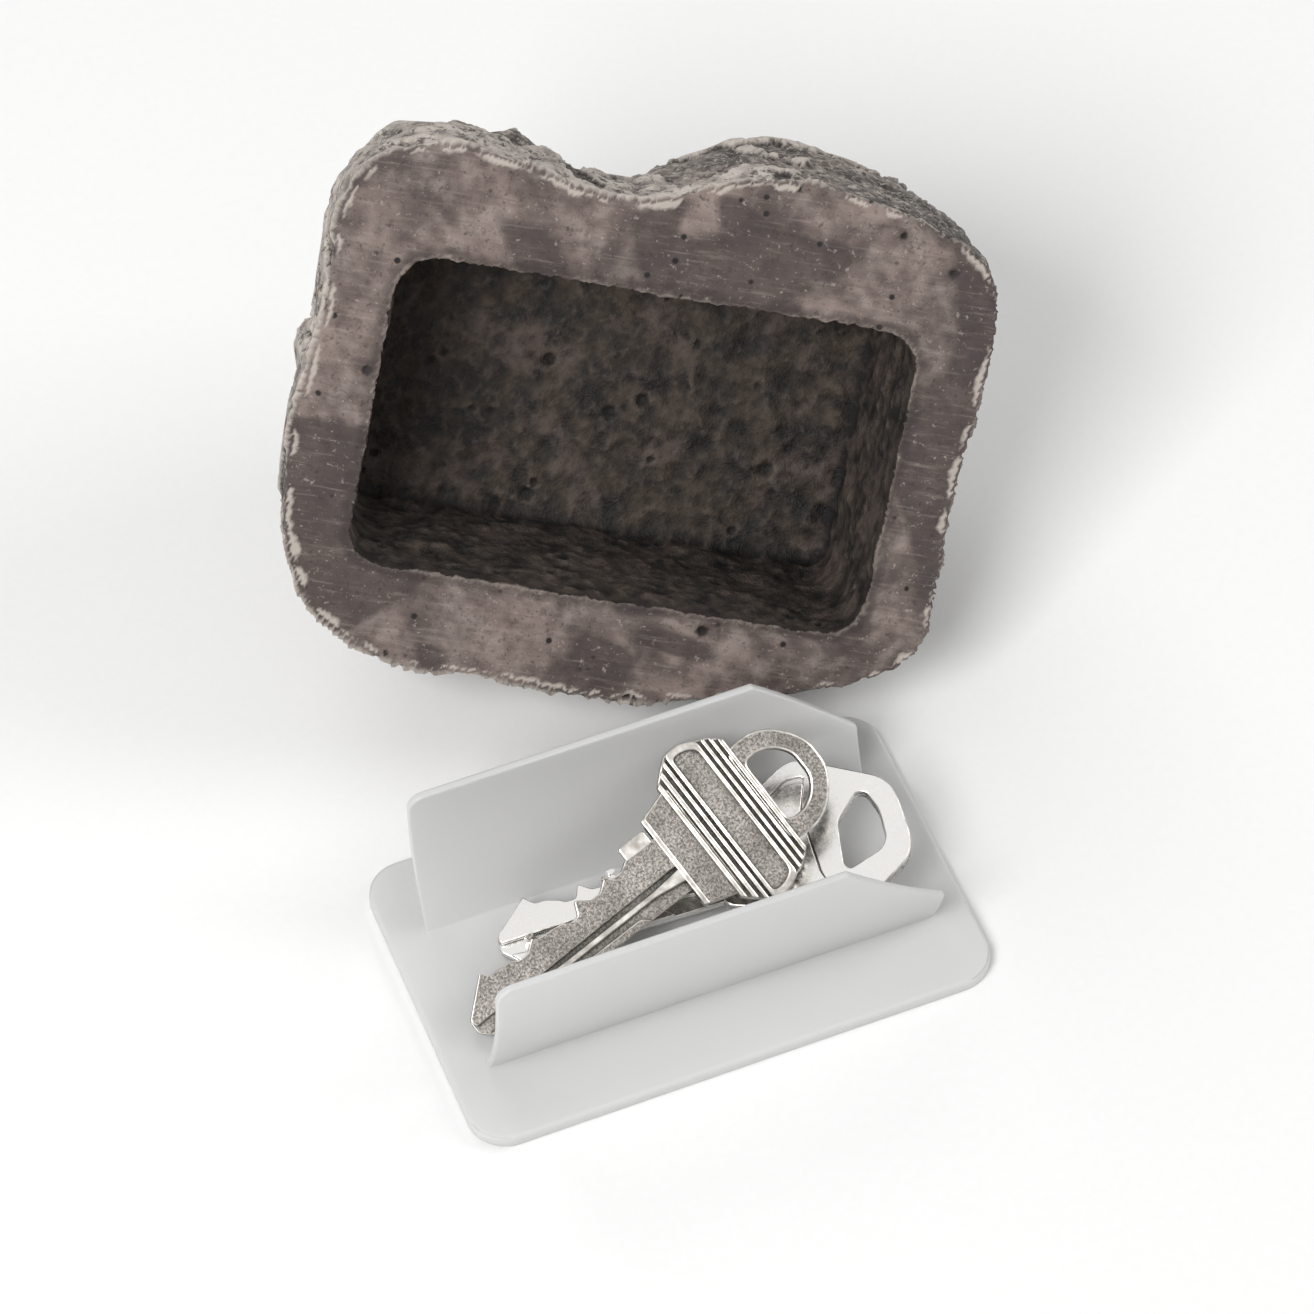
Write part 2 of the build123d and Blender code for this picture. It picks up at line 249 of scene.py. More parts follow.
def castSurface(place, fromRim):
    # outer rough surface: push along the normal in mm, and the masks the colours need
    flank = smooth(*rockLook["darkEnd"], place.x + 5 * noise.noise(place / 9.0))
    coarse = noise.ridged_multi_fractal(place / 7.5, 0.9, 2.1, 5, 1.0, 2.0)  # lumps and valleys
    froth = noise.fractal(place / 2.6 + Vector((3.3, 1.1, 8.2)), 0.7, 2.2, 4)  # small foam
    slow = noise.fractal(place / 12.0 + Vector((1.7, 9.2, 3.3)), 0.8, 2.0, 5)  # spread of the pale crust
    topRight = smooth(*rockLook["crustHigh"], place.z + 0.10 * place.x)
    topRight *= smooth(*rockLook["crustRight"], place.x)
    lowLeft = smooth(*rockLook["crustLow"], place.z + 0.12 * place.x)
    lowLeft *= smooth(*rockLook["crustLeft"], place.x)
    bias = 0.6 * max(topRight, lowLeft) - 0.32 - 0.35 * flank
    crust = smooth(0.0, 0.07, slow * 0.75 + bias + 0.10 * froth)
    calm = (1 - crust) * smooth(34, 26, place.z) * (1 - flank)  # the smoother middle of the front
    scar = max(pit(place, *shape) * strength for *shape, strength in rockLook["skinPits"])
    push = rockLook["lumpMm"] * (coarse - 0.75) * (1 - 0.55 * calm) * (1 - 0.6 * flank)
    push += rockLook["foamMm"] * froth * (1 - 0.4 * calm) * (1 - 0.35 * flank)
    push += rockLook["crustMm"] * (crust - 0.5)
    push -= rockLook["pitMm"] * scar
    push += rockLook["fineMm"] * noise.noise(place / 0.9)
    stretched = Vector((place.x / 2.6, place.y / 3.0, place.z / 8.0))
    furrow = abs(noise.noise(stretched + Vector((2.2, 5.1, 0.4))))
    push -= (rockLook["furrowMm"] * flank * smooth(0.12, 0.0, furrow)
             + 0.5 * flank * noise.noise(place / 6.0))
    push = min(push, rockLook["outwardMm"]) * (0.35 + 0.65 * smooth(0.0, 1.6, fromRim))
    if fromRim < 3:  # chips along the rim
        push -= rockLook["chipMm"] * smooth(3, 0, fromRim) * smooth(0.0, 0.45, noise.noise(place / 2.4))
    # darker towards the foot of the rock, and in large random patches; less on the pale crust
    footAndPatchDark = smooth(*rockLook["darkFoot"], place.z + 3.5 * noise.noise(place / 5.0))
    footAndPatchDark = max(footAndPatchDark, smooth(0.10, 0.42, noise.fractal(place / 8.0 + Vector((4.1, 0.3, 6.6)), 0.9, 2.0, 3)))
    footAndPatchDark *= 1 - 0.7 * crust
    return push, {"crust": crust, "flank": flank, "shadedPit": min(1.0, scar), "footAndPatchDark": footAndPatchDark}


def buildRockSkin():
    skin = meshCopy("rock", "rockSkin")
    even = evenGrid(skin, rockLook["grainMm"])
    low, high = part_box("rock")
    halfX, halfY = rockLook["pocketHalf"]
    base = rockLook["baseLevel"]
    places, facings, kinds = [], [], []
    for vertex in even.vertices:
        place = closedPlace(vertex.co)
        facing = closeTurn @ vertex.normal
        inside = abs(place.x) < halfX and abs(place.y) < halfY and place.z < rockLook["pocketTop"]
        if place.z < base + rockLook["sawnBand"] and facing.z < rockLook["sawnFacing"]:
            kind = "sawn"
        elif inside:
            kind = "pocket"
        else:
            kind = "skin"
        places.append(place)
        facings.append(facing)
        kinds.append(kind)
    # distance to the two borders of the sawn face
    trees = {}
    for other in ("skin", "pocket"):
        border = {i for edge in even.edges for i in edge.vertices
                  if {kinds[edge.vertices[0]], kinds[edge.vertices[1]]} == {"sawn", other}}
        trees[other] = KDTree(max(1, len(border)))
        for number, index in enumerate(sorted(border)):
            trees[other].insert(places[index], number)
        trees[other].balance()
    names = ("sawn", "pocket", "crust", "shadedPit", "rim", "flank", "mouth", "footAndPatchDark")
    masks = {name: np.zeros(len(places), np.float32) for name in names}
    moved = np.zeros((len(places), 3))
    borders = []
    for index in range(len(places)):
        place, facing, kind = places[index], facings[index], kinds[index]
        # a point on the border itself, or with no such border, counts as far from it
        fromRim = (trees["skin"].find(place)[2] or farMm) if kind != "pocket" else farMm
        fromMouth = (trees["pocket"].find(place)[2] or farMm) if kind != "skin" else farMm
        if kind == "sawn":
            hole = max(pit(place, *shape) for shape in rockLook["basePits"])
            chip = 1.8 * smooth(2.2, 0.2, fromRim) * smooth(0.12, 0.5, noise.noise(place / 4.6))
            chip = max(chip, 1.6 * smooth(1.6, 0.1, fromMouth + 0.8 * noise.noise(place / 1.3))
                       * smooth(0.05, 0.4, noise.noise(place / 3.4)))
            wave = rockLook["waveMm"] * (noise.noise(place / 9.0) - 1)
            push = wave - rockLook["holeMm"] * hole - rockLook["baseChipMm"] * chip
            masks["sawn"][index] = 1.0
            masks["shadedPit"][index] = hole
        elif kind == "pocket":
            rough = noise.fractal(place / 4.5, 0.8, 2.1, 5)
            knob = noise.ridged_multi_fractal(place / 6.0, 1.0, 2.0, 4, 1.0, 2.0)
            dent = pit(place, *rockLook["pocketPit"])
            push = min(0.15, -0.35 + 0.45 * rough + 0.3 * (knob - 0.8) - 0.6 * dent)
            masks["pocket"][index] = 1.0
        else:
            push, found = castSurface(place, fromRim)
            for name, value in found.items():
                masks[name][index] = value
        ragged = 1.1 * noise.noise(place / 3.1) + 0.5 * noise.noise(place / 1.1)
        masks["rim"][index] = smooth(0.75, 0.15, fromRim + ragged)
        masks["mouth"][index] = smooth(1.9, 0.5, fromMouth + 0.7 * noise.noise(place / 1.5))
        borders.append(0.8 * smooth(*rockLook["wearMm"], min(fromRim, fromMouth)))
        moved[index] = place + facing * push
        moved[index, 2] = max(moved[index, 2], base + 0.01)
    pairs = np.array([edge.vertices[:] for edge in even.edges])
    normals = np.array([tuple(f) for f in facings])
    ends = np.concatenate((pairs[:, 0], pairs[:, 1]))
    others = np.concatenate((pairs[:, 1], pairs[:, 0]))
    count = np.bincount(ends, minlength=len(places))[:, None].clip(1)

    def neighbourMean(points):
        total = np.stack([np.bincount(ends, points[others, axis], len(places)) for axis in range(3)], 1)
        return total / count

    # both borders of the sawn face are worn round
    wear = np.array(borders)[:, None]
    for sweep in range(rockLook["wearSweeps"]):
        moved = moved * (1 - wear) + neighbourMean(moved) * wear
    # raised and sunken spots against the smoothed surface: pale dry brush and painted highlight on the
    # raised, dark wash and painted shade in the sunken
    blurred = moved.copy()
    for sweep in range(rockLook["reliefSweeps"]):
        blurred = 0.5 * blurred + 0.5 * neighbourMean(blurred)
    masks["raised"] = ((moved - blurred) * normals).sum(1).astype(np.float32)  # in mm
    for index, vertex in enumerate(even.vertices):
        rest = openTurn @ (Vector(moved[index]) / 1000 - tipPlace) + tipPlace
        # never past the box of the solid
        for axis in range(3):
            rest[axis] = min(max(rest[axis], low[axis]), high[axis])
        vertex.co = rest
    for name, values in masks.items():
        layer = even.attributes.new(name, "FLOAT", "POINT")
        layer.data.foreach_set("value", values)
    layer = even.attributes.new("castPlace", "FLOAT_VECTOR", "POINT")
    layer.data.foreach_set("vector", [c / 1000 for place in places for c in place])
    even.polygons.foreach_set("use_smooth", [True] * len(even.polygons))
    even.update()
    return skin


# polyester resin filled with stone dust, cast rough, washed dark and dry brushed pale, with painted shade in
# its hollows and painted highlight on what stands up
rockMaterial = newMaterial("castPolyresin")
castPlace = addNode(rockMaterial, "ShaderNodeAttribute", attribute_name="castPlace").outputs["Vector"]
sawn, pocket, crust, shadedPit, rim, flank, mouth, footAndPatchDark, lift = (
    addNode(rockMaterial, "ShaderNodeAttribute", attribute_name=name).outputs["Fac"]
    for name in ("sawn", "pocket", "crust", "shadedPit", "rim", "flank", "mouth", "footAndPatchDark", "raised"))
slant = addNode(rockMaterial, "ShaderNodeMapping", {
    "Vector": castPlace, "Rotation": (0, 0, radians(24)), "Scale": (0.09, 1.0, 1.0)})
pattern = {}
for name, (size, detail, roughness, distortion) in rockLook["patterns"].items():
    pattern[name] = addNode(rockMaterial, "ShaderNodeTexNoise", {
        "Vector": slant.outputs[0] if name == "sawMarks" else castPlace, "Scale": perMm(size),
        "Detail": detail, "Roughness": roughness, "Distortion": distortion}).outputs[0]
stain, blotch, patch, mottle, speckle, sawMarks, grit = pattern.values()
# pores and pinholes painted as dark dots: painted shade
for name in ("skinPoreShade", "pinholeShade"):
    spacing, edge, core, none, some, strength = rockLook[name]
    cells = addNode(rockMaterial, "ShaderNodeTexVoronoi", {"Vector": castPlace, "Scale": perMm(spacing)})
    chance = addNode(rockMaterial, "ShaderNodeSeparateColor", {"Color": cells.outputs["Color"]})
    dot = addNode(rockMaterial, "ShaderNodeMapRange", {
        "Value": cells.outputs["Distance"], "From Min": edge, "From Max": core})
    picked = addNode(rockMaterial, "ShaderNodeMapRange", {
        "Value": chance.outputs[0], "From Min": none, "From Max": some, "To Max": strength})
    pattern[name] = addNode(rockMaterial, "ShaderNodeMath", {
        0: dot.outputs[0], 1: picked.outputs[0]}, operation="MULTIPLY").outputs[0]
# near the mouth of the pocket the dark wash and painted shade and the pale dry brush and painted highlight
# are weaker; at the right end the pale is weaker
sheltered = addNode(rockMaterial, "ShaderNodeMapRange", {"Value": mouth, "To Min": 1.0, "To Max": 0.15})
raised = addNode(rockMaterial, "ShaderNodeMath", {
    0: lift, 1: sheltered.outputs[0]}, operation="MULTIPLY").outputs[0]
# pale on raised spots: dry brush and painted highlight
brushAndHighlight = addNode(rockMaterial, "ShaderNodeMapRange", {
    "Value": raised, "From Min": 0.04, "From Max": 0.24, "To Max": 0.6})
flankShare = addNode(rockMaterial, "ShaderNodeMapRange", {"Value": flank, "To Min": 1.0, "To Max": 0.3})
brushedAndHighlit = addNode(rockMaterial, "ShaderNodeMath", {
    0: brushAndHighlight.outputs[0], 1: flankShare.outputs[0]}, operation="MULTIPLY").outputs[0]

skinTone = paintOver(rockMaterial, "#4c4542", [
    (blotch, 0.40, 0.60, 1.0, "#948a83"), (patch, 0.52, 0.68, 0.65, "#aaa099"),
    (patch, 0.46, 0.34, 0.75, "#342f2c"), (mottle, 0.48, 0.38, 0.8, "#2f2a28"),
    (mottle, 0.54, 0.64, 0.7, "#bcb2aa")])
crustTone = paintOver(rockMaterial, "#7b726b", [
    (patch, 0.36, 0.54, 1.0, "#d2c9c0"), (mottle, 0.47, 0.39, 0.85, "#453e3a")])
flankTone = paintOver(rockMaterial, "#2f2c2a", [
    (blotch, 0.42, 0.62, 1.0, "#67625c"), (patch, 0.52, 0.66, 0.6, "#8a837b")])
# sawn and sanded base: mauve brown, soaked in dark patches, faint slanting saw marks, pinholes and pits
# painted near black as painted shade
sawnTone = paintOver(rockMaterial, "#574c49", [
    (blotch, 0.38, 0.62, 1.0, "#85766f"), (patch, 0.48, 0.66, 0.6, "#a3968f"),
    (patch, 0.47, 0.34, 0.6, "#463c3a"), (mottle, 0.47, 0.36, 0.45, "#4a403d"),
    (stain, 0.515, 0.545, 0.72, "#3a3231"), (sawMarks, 0.56, 0.72, 0.22, "#b3a69d"),
    (sawMarks, 0.45, 0.32, 0.25, "#352b28"), (speckle, 0.57, 0.68, 0.6, "#2c2422"),
    (speckle, 0.39, 0.30, 0.45, "#bdb2a9"), (pattern["pinholeShade"], 0.0, 1.0, 1.0, "#120e0d"),
    (shadedPit, 0.15, 0.7, 0.95, "#0f0c0b")])
# inside the pocket too: pale painted highlight on raised spots, near black painted shade in sunken ones
pocketTone = paintOver(rockMaterial, "#1f1b19", [
    (patch, 0.4, 0.65, 1.0, "#51473f"), (blotch, 0.52, 0.62, 0.55, "#6a5d57"),
    (raised, 0.02, 0.2, 0.5, "#7a6e66"), (raised, 0.0, -0.2, 0.9, "#0d0b0a")])
# dark wash and painted shade in pores and hollows, pale dry brush and painted highlight on what stands up
tone = paintOver(rockMaterial, skinTone, [
    (crust, 0.0, 1.0, 0.8, crustTone), (flank, 0.0, 1.0, 0.9, flankTone), (footAndPatchDark, 0.1, 0.9, 0.75, "#2d2927"),
    (speckle, 0.54, 0.64, 0.7, "#2b2725"), (speckle, 0.45, 0.36, 0.55, "#cdc4bb"),
    (pattern["skinPoreShade"], 0.0, 1.0, 1.0, "#191615"), (brushedAndHighlit, 0.0, 1.0, 1.0, "#cfc6bc"),
    (raised, -0.03, -0.22, 0.8, "#1f1c1a"), (shadedPit, 0.2, 1.0, 0.6, "#1b1817"),
    (sawn, 0.0, 1.0, 1.0, sawnTone), (pocket, 0.0, 1.0, 1.0, pocketTone),
    (mouth, 0.2, 1.0, 0.55, "#2a2321"), (rim, 0.2, 0.95, 0.7, "#cfc5bb")])
relief = addNode(rockMaterial, "ShaderNodeMath", {0: speckle, 1: grit}, operation="ADD")
grainDepth = addNode(rockMaterial, "ShaderNodeMapRange", {"Value": sawn, "To Min": 0.7, "To Max": 0.3})
bump = addNode(rockMaterial, "ShaderNodeBump", {
    "Height": relief.outputs[0], "Strength": grainDepth.outputs[0], "Distance": 0.0003})
sheen = addNode(rockMaterial, "ShaderNodeMapRange", {
    "Value": patch, "From Min": 0.3, "From Max": 0.7, "To Min": 0.62, "To Max": 0.9})
resin = addNode(rockMaterial, "ShaderNodeBsdfPrincipled", {
    "Base Color": tone, "Roughness": sheen.outputs[0], "Specular IOR Level": 0.35, "IOR": 1.54,
    "Normal": bump.outputs[0]})
addNode(rockMaterial, "ShaderNodeOutputMaterial", {"Surface": resin.outputs[0]})

rockSkin = buildRockSkin()
rockSkin.data.materials.append(rockMaterial)
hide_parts("rock")
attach(rockSkin, "rock")
print("rock cast and coloured")

# key tray, one moulding

trayLook = {"edgeMm": 0.3, "edgeSteps": 2, "flatDegrees": 1.0, "sharpDegrees": 32.0, "shadeDegrees": 40.0}
# natural low-density polyethylene, moulded: milky, waxy sheen, light soaks in
trayMaterial = newMaterial("milkyPolyethylene")
trayPlace = addNode(trayMaterial, "ShaderNodeTexCoord").outputs["Object"]
cloud = addNode(trayMaterial, "ShaderNodeTexNoise", {"Vector": trayPlace, "Scale": perMm(30), "Detail": 1.0})
flow = addNode(trayMaterial, "ShaderNodeTexNoise", {"Vector": trayPlace, "Scale": perMm(3), "Detail": 2.0})
flowBump = addNode(trayMaterial, "ShaderNodeBump", {
    "Height": flow.outputs[0], "Strength": 0.04, "Distance": 0.0001})
wax = addNode(trayMaterial, "ShaderNodeBsdfPrincipled", {
    "Base Color": paintOver(trayMaterial, "#e0e0df", [(cloud.outputs[0], 0.0, 1.0, 1.0, "#e8e8e7")]),
    "Roughness": 0.34, "IOR": 1.51, "Subsurface Weight": 0.35, "Subsurface Radius": (0.003, 0.003, 0.0028),
    "Subsurface Scale": 1.0, "Transmission Weight": 0.2, "Normal": flowBump.outputs[0]})
addNode(trayMaterial, "ShaderNodeOutputMaterial", {"Surface": wax.outputs[0]})


def softenEdges(piece, look):
    # flat areas become single faces, then every sharp edge is rounded
    work = bmesh.new()
    work.from_mesh(piece.data)
    bmesh.ops.dissolve_limit(work, angle_limit=radians(look["flatDegrees"]),
                             verts=work.verts, edges=work.edges)
    sharp = [edge for edge in work.edges
             if len(edge.link_faces) == 2 and edge.calc_face_angle(0) > radians(look["sharpDegrees"])]
    bmesh.ops.bevel(work, geom=sharp, offset=look["edgeMm"] / 1000, offset_type="OFFSET",
                    segments=look["edgeSteps"], profile=0.6, affect="EDGES", clamp_overlap=True, material=0)
    for face in work.faces:
        face.smooth = True
    work.to_mesh(piece.data)
    work.free()
    piece.data.set_sharp_from_angle(angle=radians(look["shadeDegrees"]))


springTray = meshCopy("key_tray", "springTray")
softenEdges(springTray, trayLook)
springTray.data.materials.append(trayMaterial)
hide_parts("key_tray")
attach(springTray, "tray")
print("tray moulded")

# keys

ribbedLook = {"tip": (-30.2, -5.6, 4.2), "yaw": 13.5, "pitch": 15.2, "roll": 27.0,
              "length": 55.0, "blade": 32.0, "bladeWidth": 8.0, "half": 1.05,
              "cuts": ((6.2, 1.0), (10.1, 1.7), (14.0, 1.1), (17.9, 1.9), (21.8, 1.3), (25.6, 0.8)),
              "shoulder": 4.2, "shoulderWidth": 13.2, "block": 10.3, "blockWidth": 23.0,
              "blockHalf": 1.5, "coreHalf": 0.85, "loopWidth": 14.4,
              "ribs": ((0.0, 0.65), (1.1, 1.75), (2.2, 2.75), (7.9, 8.4), (8.8, 9.3), (9.7, 10.3)),
              "frame": (3.1, 7.5), "frameWall": 0.55}
angularLook = {"tip": (-22.5, 5.0, 3.46), "yaw": -6.5, "pitch": 7.0, "roll": 10.0,
               "length": 53.5, "blade": 28.5, "bladeWidth": 8.2, "half": 1.05,
               "cuts": ((6.5, 1.2), (10.2, 2.2), (13.9, 1.6), (17.6, 0.9), (21.3, 1.9)),
               "bowWidth": 23.0, "sunk": 0.28}

keyShadeDegrees = 38.0
# nickel-plated brass, bead blasted: dull, sandy, darker in dirty patches, with painted shade in nooks and
# grooves
blastedNickel = newMaterial("blastedNickel")
blastPlace = addNode(blastedNickel, "ShaderNodeTexCoord").outputs["Object"]
# blasting grit is about 0.15 mm, drawn at 0.3 mm so that it shows
beads = addNode(blastedNickel, "ShaderNodeTexNoise", {
    "Vector": blastPlace, "Scale": perMm(0.3), "Detail": 2.0, "Roughness": 0.7})
dirt = addNode(blastedNickel, "ShaderNodeTexNoise", {"Vector": blastPlace, "Scale": perMm(5), "Detail": 4.0})
# painted shade: ambient occlusion darkens the colour in nooks and grooves
nookShade = addNode(blastedNickel, "ShaderNodeAmbientOcclusion", {"Distance": 0.0008}, samples=8)
beadBump = addNode(blastedNickel, "ShaderNodeBump", {
    "Height": beads.outputs[0], "Strength": 0.55, "Distance": 0.00012})
dullMetal = addNode(blastedNickel, "ShaderNodeBsdfPrincipled", {
    "Base Color": paintOver(blastedNickel, "#625e59", [
        (beads.outputs[0], 0.36, 0.64, 1.0, "#aaa59f"), (dirt.outputs[0], 0.4, 0.7, 0.45, "#4b4743"),
        (nookShade.outputs["AO"], 0.85, 0.35, 0.9, "#151312")]),
    "Metallic": 1.0, "Roughness": 0.45, "Normal": beadBump.outputs[0]})
addNode(blastedNickel, "ShaderNodeOutputMaterial", {"Surface": dullMetal.outputs[0]})
# the same plating rubbed bright on ribs and edges by pockets and locks, with a painted highlight on the same
# edges
wornAndHighlitNickelEdge = newMaterial("wornAndHighlitNickelEdge")
wornPlace = addNode(wornAndHighlitNickelEdge, "ShaderNodeTexCoord").outputs["Object"]
rubAndGlint = addNode(wornAndHighlitNickelEdge, "ShaderNodeTexNoise", {"Vector": wornPlace, "Scale": perMm(1.5), "Detail": 3.0})
# painted shade: ambient occlusion darkens the colour in gaps beside the edges
gapShade = addNode(wornAndHighlitNickelEdge, "ShaderNodeAmbientOcclusion", {"Distance": 0.0006}, samples=8)
# pale base colour: rubbed wear, and painted highlight where the edges catch the light
edgeMetal = addNode(wornAndHighlitNickelEdge, "ShaderNodeBsdfPrincipled", {
    "Base Color": paintOver(wornAndHighlitNickelEdge, "#a8a39c", [
        (rubAndGlint.outputs[0], 0.35, 0.65, 1.0, "#e0dcd6"), (gapShade.outputs["AO"], 0.62, 0.3, 0.85, "#1b1918")]),
    "Metallic": 1.0, "Roughness": 0.3})
addNode(wornAndHighlitNickelEdge, "ShaderNodeOutputMaterial", {"Surface": edgeMetal.outputs[0]})
# bright rolled and polished nickel, no dirt, painted shade only in the pressed lines
polishedNickel = newMaterial("polishedNickel")
polishPlace = addNode(polishedNickel, "ShaderNodeTexCoord").outputs["Object"]
hair = addNode(polishedNickel, "ShaderNodeTexNoise", {
    "Vector": polishPlace, "Scale": perMm(0.6), "Detail": 3.0})
hairlines = addNode(polishedNickel, "ShaderNodeMapRange", {
    "Value": hair.outputs[0], "From Min": 0.3, "From Max": 0.7, "To Min": 0.16, "To Max": 0.30})
# painted shade: ambient occlusion darkens the colour in the pressed lines
seamShade = addNode(polishedNickel, "ShaderNodeAmbientOcclusion", {"Distance": 0.0006}, samples=8)
polish = addNode(polishedNickel, "ShaderNodeBsdfPrincipled", {
    "Base Color": paintOver(polishedNickel, "#e9e7e4", [(seamShade.outputs["AO"], 0.8, 0.4, 0.95, "#1c1a19")]),
    "Metallic": 1.0, "Roughness": hairlines.outputs[0]})
addNode(polishedNickel, "ShaderNodeOutputMaterial", {"Surface": polish.outputs[0]})


def roundCorners(points, radius, steps=4):
    # the same outline with every corner turned into a small arc
    outline = []
    for index, point in enumerate(points):
        corner = Vector(point)
        before = Vector(points[index - 1]) - corner
        after = Vector(points[(index + 1) % len(points)]) - corner
        cut = min(radius, before.length * 0.45, after.length * 0.45)
        first, last = corner + before.normalized() * cut, corner + after.normalized() * cut
        for step in range(steps + 1):
            t = step / steps
            outline.append((1 - t) ** 2 * first + 2 * t * (1 - t) * corner + t * t * last)
    return outline


def addPlate(work, outlines, low, high, edge, bright=False):
    # flat plate with softened edges from an outline and its holes; low and high in mm
    # only its bevels are worn bright and carry a painted highlight, or all of it
    curve = bpy.data.curves.new("plate", "CURVE")
    curve.dimensions = "2D"
    curve.fill_mode = "BOTH"
    for outline in outlines:
        spline = curve.splines.new("POLY")
        spline.points.add(len(outline) - 1)
        for point, corner in zip(spline.points, outline):
            point.co = (corner[0], corner[1], 0, 1)
        spline.use_cyclic_u = True
    curve.extrude, curve.bevel_depth = (high - low) / 2 - edge, edge
    curve.bevel_resolution, curve.offset = 1, -edge
    holder = bpy.data.objects.new("plate", curve)
    mesh = bpy.data.meshes.new_from_object(holder)
    mesh.transform(Matrix.Translation((0, 0, (high + low) / 2)))
    for face in mesh.polygons:
        bevel = 0.15 < abs(face.normal.z) < 0.97  # neither upright nor flat
        face.material_index = 1 if bright or bevel else 0
        face.use_smooth = True
    work.from_mesh(mesh)
    bpy.data.objects.remove(holder)
    bpy.data.curves.remove(curve)
    bpy.data.meshes.remove(mesh)


def cutEdge(look):
    # the toothed edge of the blade, from the bow towards the tip
    flat, run, spread = 0.7, 0.4, 1.1  # half the floor of a cut, extra run of its flank, both together
    half = look["bladeWidth"] / 2
    cuts = sorted(look["cuts"], reverse=True)
    corners = [(look["blade"] + 0.8, half), (cuts[0][0] + spread + cuts[0][1], half)]
    for index, (x, depth) in enumerate(cuts):
        corners += [(x + flat, half - depth), (x - flat, half - depth)]
        rise = depth / (run + depth)
        if index + 1 == len(cuts):
            corners.append((max(4.6, x - spread - depth), half))
            break
        following, deep = cuts[index + 1]
        fall = deep / (run + deep)
        # where the two flanks would meet between these cuts
        peak = (depth - deep + rise * (x - flat) + fall * (following + flat)) / (rise + fall)
        level = half - depth + rise * (x - flat - peak)
        if level < half:
            corners.append((peak, level))
        else:
            corners += [(x - spread - depth, half), (following + spread + deep, half)]
    return corners + [(4.5, half), (0.0, -half + 4.0)]


def addBlade(work, look):
    half, root, thick = look["bladeWidth"] / 2, look["blade"] + 0.8, look["half"]
    teeth = cutEdge(look)
    whole = teeth + [(0.0, -half + 2.2), (2.2, -half), (root, -half)]
    land = teeth + [(0.3, -half + 3.0), (root, -half + 3.6)]
    rib = [(3.0, -half + 2.1), (4.0, -half + 1.75), (root - 5.0, -half + 1.95), (root, -half + 1.2),
           (root, -half + 3.2), (root - 5.0, -half + 2.75), (4.0, -half + 2.55)]
    foot = [(2.2, -half), (root - 7.0, -half), (root - 8.2, -half + 1.05),
            (3.0, -half + 1.1), (1.1, -half + 1.3)]
    addPlate(work, [roundCorners(whole, 0.35, 2)], -thick, thick - 0.8, 0.12)
    addPlate(work, [roundCorners(land, 0.35, 2)], 0.0, thick, 0.16)
    addPlate(work, [roundCorners(rib, 0.3, 2)], 0.0, thick, 0.2, True)
    addPlate(work, [roundCorners(foot, 0.3, 2)], 0.0, thick - 0.15, 0.16)


def finishKey(work, name, look, bodyMaterial):
    # turns the finished key from its own axes into the tray
    turned = (Matrix.Rotation(radians(look["yaw"]), 4, "Z") @ Matrix.Rotation(radians(-look["pitch"]), 4, "Y")
              @ Matrix.Rotation(radians(look["roll"]), 4, "X"))
    mesh = bpy.data.meshes.new(name)
    work.to_mesh(mesh)
    work.free()
    mesh.transform(Matrix.Scale(0.001, 4) @ Matrix.Translation(look["tip"]) @ turned)
    for material in (bodyMaterial, wornAndHighlitNickelEdge):
        mesh.materials.append(material)
    mesh.set_sharp_from_angle(angle=radians(keyShadeDegrees))
    piece = bpy.data.objects.new(name, mesh)
    bpy.context.scene.collection.objects.link(piece)
    return piece


